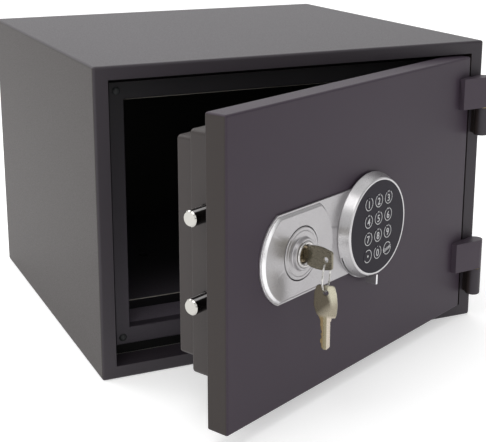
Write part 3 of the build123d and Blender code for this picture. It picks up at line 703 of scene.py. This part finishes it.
S = 180
a_hi, a_lo = ang_of(-1.0), ang_of(65.0)          # a_lo < a_hi
bm = bmesh.new()
lathe(bm, full, S)
bmesh.ops.recalc_face_normals(bm, faces=bm.faces)
me_h = bpy.data.meshes.new("h")
bm.to_mesh(me_h)
bm.free()
bm = bmesh.new()
lathe(bm, [(43.6, CUTZ - 1.1), (53.0, CUTZ - 1.1), (53.0, CUTZ), (43.6, CUTZ)], 40, a_lo, a_hi)
bm.verts.ensure_lookup_table()
bm.faces.new(bm.verts[0:4])
bm.faces.new(bm.verts[-4:])
bmesh.ops.recalc_face_normals(bm, faces=bm.faces)
cutter = bpy.data.meshes.new("c")
bm.to_mesh(cutter)
bm.free()
me_h = smooth_angle(cut(me_h, [cutter]), 38)
housing = place("keypad_head", me_h, M["silver"], FACE_DOOR(KX, KZ), "door")
wn = housing.modifiers.new("normals", "WEIGHTED_NORMAL"); wn.keep_sharp = True
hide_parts("keypad_housing")

# lever: disc inside the head, a thin neck through the slot and a fin below
prof = rounded([(5.0, 2.6), (43.4, 2.6), (43.4, 5.6), (5.0, 5.6)], 0.2, 2)
bm = bmesh.new()
lathe(bm, prof, 96)
ob = finish_bm("lever_plate", bm, M["lever"], FACE_DOOR(KX, KZ), "lever", 40)
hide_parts("lever_disc")
TURN2 = Matrix.Rotation(radians(-2.0), 4, "Z")
me = box_mesh(-1.3, -52.2, 3.75, 1.3, -43.0, 4.35)
place("lever_neck", me, M["lever"], FACE_DOOR(KX, KZ) @ TURN2, "lever")
bm = bmesh.new()
fp = [(-52.0, 2.7), (-51.2, 4.3), (-48.0, 11.2), (-47.0, 13.4), (-46.9, 14.6), (-56.6, 14.6), (-56.6, 2.7)]      # follows the cone of the head
sides = [[bm.verts.new((x * MM, y * MM, z * MM)) for y, z in fp] for x in (-1.3, 1.3)]
bm.faces.new(sides[0]); bm.faces.new(sides[1][::-1])
for i in range(len(fp)):
    j = (i + 1) % len(fp)
    bm.faces.new((sides[0][i], sides[0][j], sides[1][j], sides[1][i]))
bmesh.ops.recalc_face_normals(bm, faces=bm.faces)
me = bpy.data.meshes.new("lever_fin")
bm.to_mesh(me)
bm.free()
ob = place("lever_fin", me, M["fin"], FACE_DOOR(KX, KZ) @ TURN2, "lever")
bevel(ob, 0.35, 3, 35)

# printed rings, digits and small letters on the twelve keys
LETTERS = {"2": "ABC", "3": "DEF", "4": "GHI", "5": "JKL", "6": "MNO", "7": "PQRS", "8": "TUV", "9": "WXYZ", "1": "- -", "0": "+"}
names = [["1", "2", "3"], ["4", "5", "6"], ["7", "8", "9"], ["star", "0", "enter"]]
for r, row in enumerate(names):
    for c, nm in enumerate(row):
        bm = bmesh.new()
        Z0, Z1 = 13.10, 13.20
        if nm == "star":
            band(bm, 5.60, 6.35, radians(-150), radians(125), Z0, Z1)
            band(bm, 0.0001, 1.15, 0, 2 * pi, Z0, Z1, 24)
        elif nm == "enter":
            band(bm, 5.60, 6.35, radians(34), radians(190), Z0, Z1)
            band(bm, 5.60, 6.35, radians(222), radians(366), Z0, Z1)
            text_bm(bm, "Enter", 5.6, 0.0, 0.0, (Z0 + Z1) / 2, Z1 - Z0, radians(16), 1.1, 0.12)
        else:
            band(bm, 5.60, 6.35, radians(-238), radians(58), Z0, Z1)
            text_bm(bm, nm, 9.6, 0.0, -0.4, (Z0 + Z1) / 2, Z1 - Z0, 0.0, 1.0, 0.12)
            text_bm(bm, LETTERS[nm], 1.6 if len(LETTERS[nm]) > 3 else 2.1, 0.0, 5.8, (Z0 + Z1) / 2, Z1 - Z0, 0.0, 1.0, 0.04)
        me = bpy.data.meshes.new("print_" + nm)
        bm.to_mesh(me)
        bm.free()
        ob = place("print_" + nm, me, M["print"], FACE_DOOR(KX + COLS[c], KZ + ROWS[r]), "key_" + nm)

# ------------------------------------------------------------------ key lock
ros = lathe_piece("rosette", [(12.3, 0.0), (23.75, 0.0), (23.75, 4.5), (23.1, 5.15), (21.0, 5.3), (20.5, 4.85), (20.0, 5.35), (15.6, 5.6), (15.0, 6.3), (14.4, 8.9), (13.7, 9.4), (12.3, 9.4)],
                  M["rosette"], FACE_DOOR(LX, LZ), "door", r=[0, 0.1, 0.3, 0.5, 0.1, 0.15, 0.1, 0.3, 0.3, 0.3, 0.25, 0.2])
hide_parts("lock_rosette")
cyl = lathe_piece("cylinder_body", [(8.06, -40.0), (12.0, -40.0), (12.0, 9.6), (11.0, 10.6), (9.8, 10.6), (8.06, 8.6)], M["nickel"], FACE_DOOR(LX, LZ), "door", r=[0, 0.3, 0.4, 0.4, 0.3, 0.1])
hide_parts("lock_cylinder")
bm = bmesh.new()
lathe(bm, rounded([(0.0, -40.3), (8.0, -40.3), (8.0, 6.6), (7.3, 7.3), (0.0, 7.3)], [0, 0.2, 0.3, 0.3, 0], 3, False), 96, closed=False)
bmesh.ops.recalc_face_normals(bm, faces=bm.faces)
me = bpy.data.meshes.new("plug")
bm.to_mesh(me)
bm.free()
me = smooth_angle(cut(me, [box_mesh(-1.35, -4.7, -23.5, 1.35, 4.7, 12.0), box_mesh(-1.6, -5.8, 6.6, 1.6, 5.8, 12.0), box_mesh(-4.4, -0.6, 6.5, -1.0, 0.6, 12.0)]), 35)
plug = place("plug_body", me, M["plug"], FACE_DOOR(LX, LZ), "lock_plug")
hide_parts("lock_plug")

# ------------------------------------------------------------------ locking bolts
for i, bz in enumerate((119.0, 197.0)):
    m = DOOR @ T(21.5, 44.5, bz) @ Matrix(((0, 0, -1, 0), (0, 1, 0, 0), (1, 0, 0, 0), (0, 0, 0, 1)))     # local Z towards the latch side
    prof = [(0.0, -38.5), (7.25, -38.5), (7.25, -1.1), (6.2, 0.0), (0.0, 0.0)]
    bm = bmesh.new()
    lathe(bm, rounded(prof, [0, 0.3, 0.25, 0.25, 0], 3, False), 96, closed=False)
    ob = finish_bm("bolt_rod_%d" % (i + 1), bm, M["bolt"], m, "bolt_work", 40)
    wn = ob.modifiers.new("normals", "WEIGHTED_NORMAL"); wn.keep_sharp = True
    if i == 0:
        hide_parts("locking_bolts")

# ------------------------------------------------------------------ keys
BIT = [(4.3, -31), (3.4, -32), (4.3, -33.5), (2.9, -35.5), (2.9, -37), (4.1, -38.5), (3.2, -40), (3.2, -42), (4.2, -43.5), (4.2, -46), (3.3, -47.5), (3.3, -50), (1.6, -52.8),
       (-1.6, -52.8), (-4.3, -50.0)]
OUT_IN = [(-6.6, 6.6), (6.6, 6.6), (8.2, 5.3), (10.2, -4.0), (10.4, -10.0), (9.8, -16.0), (8.5, -19.6), (5.6, -20.2), (5.2, -23.4), (4.3, -24.0)] + BIT + \
         [(-4.3, -24.0), (-5.2, -23.4), (-5.6, -20.2), (-8.5, -19.6), (-9.8, -16.0), (-10.4, -10.0), (-10.2, -4.0), (-8.2, 5.3)]
OUT_RING = [(-6.2, 6.6), (6.6, 6.6), (8.4, 5.4), (10.3, -1.0), (10.5, -12.5), (8.2, -19.6), (5.6, -22.6), (5.0, -24.6), (4.3, -25.6)] + BIT + \
           [(-4.3, -26.4), (-5.2, -25.8), (-5.4, -22.9), (-9.0, -22.4), (-10.0, -19.0), (-10.6, -11.0), (-9.6, -1.0), (-7.8, 5.4)]


def key_mesh(out):
    me = outline_mesh(rounded(out, 0.9, 4), [(0.0, 0.0, 2.5)], 2.1, 0.22)
    cutters = []
    for s in (1, -1):
        z = 1.05 * s
        cutters.append(box_mesh(-0.75 * s - 0.55, -53.5, z - 0.5, -0.75 * s + 0.55, -27.0, z + 0.5))      # long milled groove
        cutters.append(box_mesh(2.2, -53.5, z - 0.32, 2.9, -27.0, z + 0.32))
        # shallow panel sunk in each face of the bow
        pan = [(-5.6, -5.0), (5.6, -5.0), (7.6, -7.2), (7.4, -13.6), (6.0, -17.0), (-6.0, -17.0), (-7.4, -13.6), (-7.6, -7.2)]
        bmp = bmesh.new()
        pp = rounded(pan, 1.2, 3)
        loop0 = [bmp.verts.new((x * MM, y * MM, (z - 0.14) * MM)) for x, y in pp]
        loop1 = [bmp.verts.new((x * MM, y * MM, (z + 0.14) * MM)) for x, y in pp]
        bmp.faces.new(loop0[::-1]); bmp.faces.new(loop1)
        for i in range(len(pp)):
            j = (i + 1) % len(pp)
            bmp.faces.new((loop0[i], loop0[j], loop1[j], loop1[i]))
        bmesh.ops.recalc_face_normals(bmp, faces=bmp.faces)
        mp = bpy.data.meshes.new("p")
        bmp.to_mesh(mp)
        bmp.free()
        cutters.append(mp)
    return smooth_angle(cut(me, cutters), 32)


HOLE_Y = -31.0
KEY_M = DOOR @ T(LX, HOLE_Y, LZ) @ Matrix(((0, 0, 1, 0), (0, -1, 0, 0), (1, 0, 0, 0), (0, 0, 0, 1)))
ob = place("lock_key", key_mesh(OUT_IN), M["key"], KEY_M, "key")
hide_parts("key")

tr = radians(21.0)
hx, hy = cos(tr), sin(tr)
RING_R = 13.4
RB = (LX, HOLE_Y, LZ - 1.5 - 2 * RING_R)
SP_M = DOOR @ T(RB[0], RB[1], RB[2] - 1.5) @ Matrix(((-hy, 0, hx, 0), (hx, 0, hy, 0), (0, 1, 0, 0), (0, 0, 0, 1)))
ob = place("ring_key", key_mesh(OUT_RING), M["spare"], SP_M, "spare_key")
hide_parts("spare_key")

# wire ring: two turns side by side, closed by short crossings
ring_m = DOOR @ T(LX, HOLE_Y, LZ - 1.5 - RING_R) @ Matrix.Rotation(tr, 4, "Z") @ FACE
path = []
TURN = 200
for k in range(2 * TURN):
    a = 2 * pi * k / TURN + radians(200)
    t = (k % TURN) / TURN
    lane = -1 if k < TURN else 1
    off = 0.40
    s = lane * off
    if t > 0.93:                                     # slides over to the other turn
        w = (t - 0.93) / 0.07
        w = w * w * (3 - 2 * w)
        s = lane * off * (1 - 2 * w)
    path.append(Vector((RING_R * cos(a), RING_R * sin(a), s)) * MM)
bm = bmesh.new()
prev = []
n = len(path)
for k in range(n):
    p, q, o = path[k], path[(k + 1) % n], path[k - 1]
    tan = (q - o).normalized()
    rad = Vector((p.x, p.y, 0)).normalized()
    bi = tan.cross(rad).normalized()
    rad = bi.cross(tan).normalized()
    prev.append([bm.verts.new(p + (rad * cos(2 * pi * j / 12) + bi * sin(2 * pi * j / 12)) * 0.39 * MM) for j in range(12)])
for k in range(n):
    a, b = prev[k], prev[(k + 1) % n]
    for j in range(12):
        bm.faces.new((a[j], a[(j + 1) % 12], b[(j + 1) % 12], b[j]))
ob = finish_bm("wire_ring", bm, M["ring"], ring_m, "key_ring", 60)
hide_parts("key_ring")

# ------------------------------------------------------------------ soft edges on carried-over pieces
for n, wd, sg in (("hinge_leaves", 0.9, 3), ("lock_plate", 0.22, 2)):
    o = N[n]
    w = o.modifiers.new("weld", "WELD")
    w.merge_threshold = 1e-6
    bevel(o, wd, sg, 35)

# ------------------------------------------------------------------ floor
bm = bmesh.new()
bmesh.ops.create_grid(bm, x_segments=1, y_segments=1, size=9.0)
fm = bpy.data.meshes.new("floor")
bm.to_mesh(fm)
bm.free()
floor = bpy.data.objects.new("floor", fm)
scene.collection.objects.link(floor)
mf, nt, b = new_mat("floor_white")
nt.links.new(ramp(nt, noise(nt, coords(nt), 0.7, 2.0), [(0.3, 0.80), (0.7, 0.82)]), b.inputs["Base Color"])
b.inputs["Roughness"].default_value = 0.9
b.inputs["Specular IOR Level"].default_value = 0.0
b.inputs["Emission Color"].default_value = (1, 1, 1, 1)
b.inputs["Emission Strength"].default_value = 0.42
fm.materials.append(mf)

# ------------------------------------------------------------------ light
world = bpy.data.worlds.new("studio")
scene.world = world
world.use_nodes = True
nt = world.node_tree
nt.nodes.clear()
out = nt.nodes.new("ShaderNodeOutputWorld")
tc = nt.nodes.new("ShaderNodeTexCoord")
dot = nt.nodes.new("ShaderNodeVectorMath"); dot.operation = "DOT_PRODUCT"
dot.inputs[1].default_value = Vector((-0.45, 0.45, 0.75)).normalized()
nt.links.new(tc.outputs["Generated"], dot.inputs[0])
mr = nt.nodes.new("ShaderNodeMapRange")
mr.inputs["From Min"].default_value = -0.7
mr.inputs["From Max"].default_value = 0.8
mr.inputs["To Min"].default_value = 0.40
mr.inputs["To Max"].default_value = 1.05
mr.interpolation_type = "SMOOTHSTEP"
nt.links.new(dot.outputs["Value"], mr.inputs["Value"])
dot2 = nt.nodes.new("ShaderNodeVectorMath"); dot2.operation = "DOT_PRODUCT"
dot2.inputs[1].default_value = Vector((0.35, 0.92, 0.15)).normalized()
nt.links.new(tc.outputs["Generated"], dot2.inputs[0])
mr2 = nt.nodes.new("ShaderNodeMapRange")
mr2.inputs["From Min"].default_value = 0.2
mr2.inputs["From Max"].default_value = 1.0
mr2.inputs["To Min"].default_value = 0.0
mr2.inputs["To Max"].default_value = 0.45
mr2.interpolation_type = "SMOOTHSTEP"
nt.links.new(dot2.outputs["Value"], mr2.inputs["Value"])
dot3 = nt.nodes.new("ShaderNodeVectorMath"); dot3.operation = "DOT_PRODUCT"
dot3.inputs[1].default_value = Vector((-0.06, -0.90, 0.42)).normalized()
nt.links.new(tc.outputs["Generated"], dot3.inputs[0])
mr3 = nt.nodes.new("ShaderNodeMapRange")
mr3.inputs["From Min"].default_value = 0.90
mr3.inputs["From Max"].default_value = 0.97
mr3.inputs["To Min"].default_value = 0.0
mr3.inputs["To Max"].default_value = 1.0
mr3.interpolation_type = "SMOOTHSTEP"
nt.links.new(dot3.outputs["Value"], mr3.inputs["Value"])
part = nt.nodes.new("ShaderNodeMath"); part.operation = "ADD"
nt.links.new(mr.outputs["Result"], part.inputs[0])
nt.links.new(mr2.outputs["Result"], part.inputs[1])
total = nt.nodes.new("ShaderNodeMath"); total.operation = "ADD"
nt.links.new(part.outputs[0], total.inputs[0])
nt.links.new(mr3.outputs["Result"], total.inputs[1])
bg = nt.nodes.new("ShaderNodeBackground")
nt.links.new(total.outputs[0], bg.inputs["Strength"])
bg2 = nt.nodes.new("ShaderNodeBackground")
bg2.inputs["Strength"].default_value = 1.0
lp = nt.nodes.new("ShaderNodeLightPath")
mx = nt.nodes.new("ShaderNodeMixShader")
nt.links.new(lp.outputs["Is Camera Ray"], mx.inputs[0])
nt.links.new(bg.outputs[0], mx.inputs[1])
nt.links.new(bg2.outputs[0], mx.inputs[2])
nt.links.new(mx.outputs[0], out.inputs["Surface"])


def area(name, loc, at, size, energy, color=(1, 1, 1)):
    l = bpy.data.lights.new(name, "AREA")
    l.shape = "RECTANGLE"
    l.size, l.size_y = size
    l.energy = energy
    l.color = color
    o = bpy.data.objects.new(name, l)
    scene.collection.objects.link(o)
    o.location = loc
    o.rotation_mode = "QUATERNION"
    o.rotation_quaternion = (Vector(at) - Vector(loc)).to_track_quat("-Z", "Y")
    return o


area("softbox_left", (-1.0, -0.78, 1.85), (0, -0.15, 0.15), (1.0, 1.0), 8.0, (1.0, 0.995, 0.985))
area("softbox_top", (-0.1, 0.5, 1.9), (0, 0, 0.2), (1.6, 1.2), 7.5)
area("softbox_back", (-1.35, 1.15, 2.0), (0, -0.25, 0.15), (0.9, 0.9), 8.0)

# ------------------------------------------------------------------ camera
cam = bpy.data.cameras.new("camera")
cam.sensor_width = 36.0
cam.lens = 82.51
cam.shift_x = 0.0
cam.shift_y = -0.1
cam.clip_start, cam.clip_end = 0.05, 60.0
co = bpy.data.objects.new("camera", cam)
scene.collection.objects.link(co)
co.location = (-0.4963, -1.1569, 0.4668)
az, el = radians(24.30), radians(14.63)
co.rotation_mode = "QUATERNION"
co.rotation_quaternion = Vector((sin(az) * cos(el), cos(az) * cos(el), -sin(el))).to_track_quat("-Z", "Y")
scene.camera = co
scene.view_settings.view_transform = "Standard"
